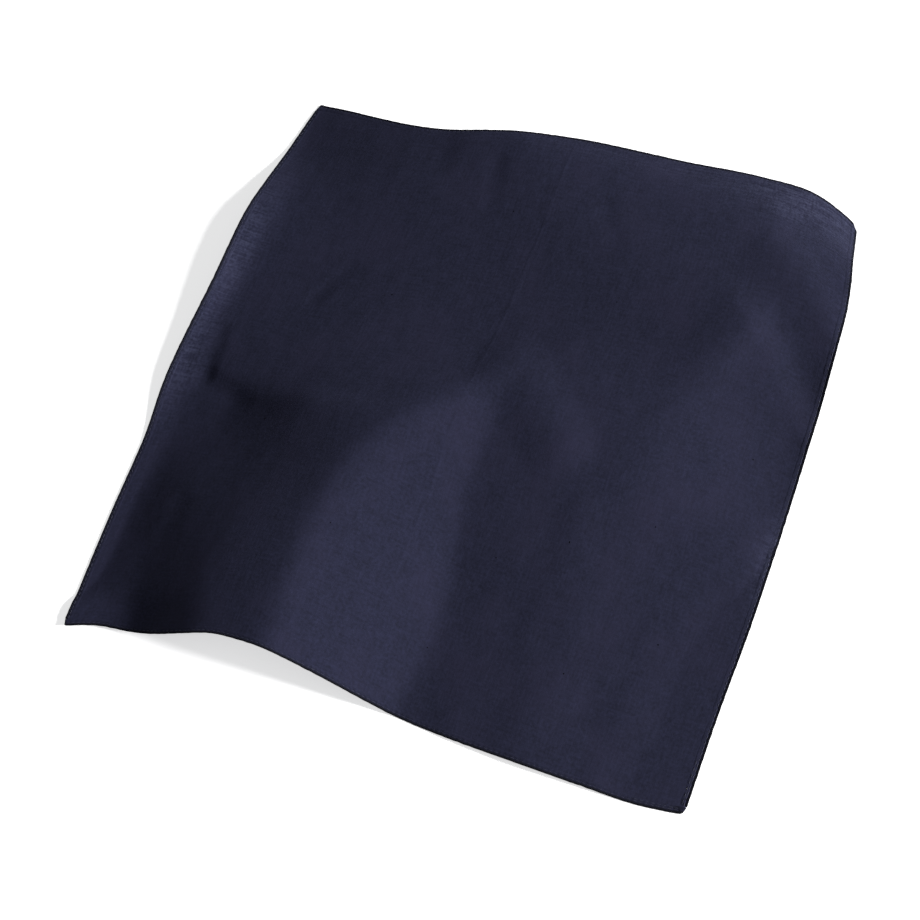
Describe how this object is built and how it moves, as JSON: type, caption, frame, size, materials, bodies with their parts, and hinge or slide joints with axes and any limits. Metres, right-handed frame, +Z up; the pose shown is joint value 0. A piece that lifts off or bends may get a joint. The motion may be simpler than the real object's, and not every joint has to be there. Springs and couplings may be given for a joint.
{
  "type": "bandana",
  "caption": "Plain navy square bandana of thin plain-weave cloth with narrow turned hems, laid loosely on a flat surface in soft folds.",
  "frame": {"origin": "on the surface the cloth lies on, under the middle of its bounding box", "axes": "+Z up from the surface, +X to the right along the front hem, +Y from the front hem to the back hem"},
  "size_m": [0.5682, 0.5664, 0.0398],
  "materials": {
    "cloth": "matt plain weave, navy",
    "hem": "matt plain weave turned and stitched, darker navy"
  },
  "bodies": {
    "root": {"field": "cloth", "hem_front": "hem", "hem_right": "hem", "hem_back": "hem", "hem_left": "hem"}
  },
  "joints": []
}
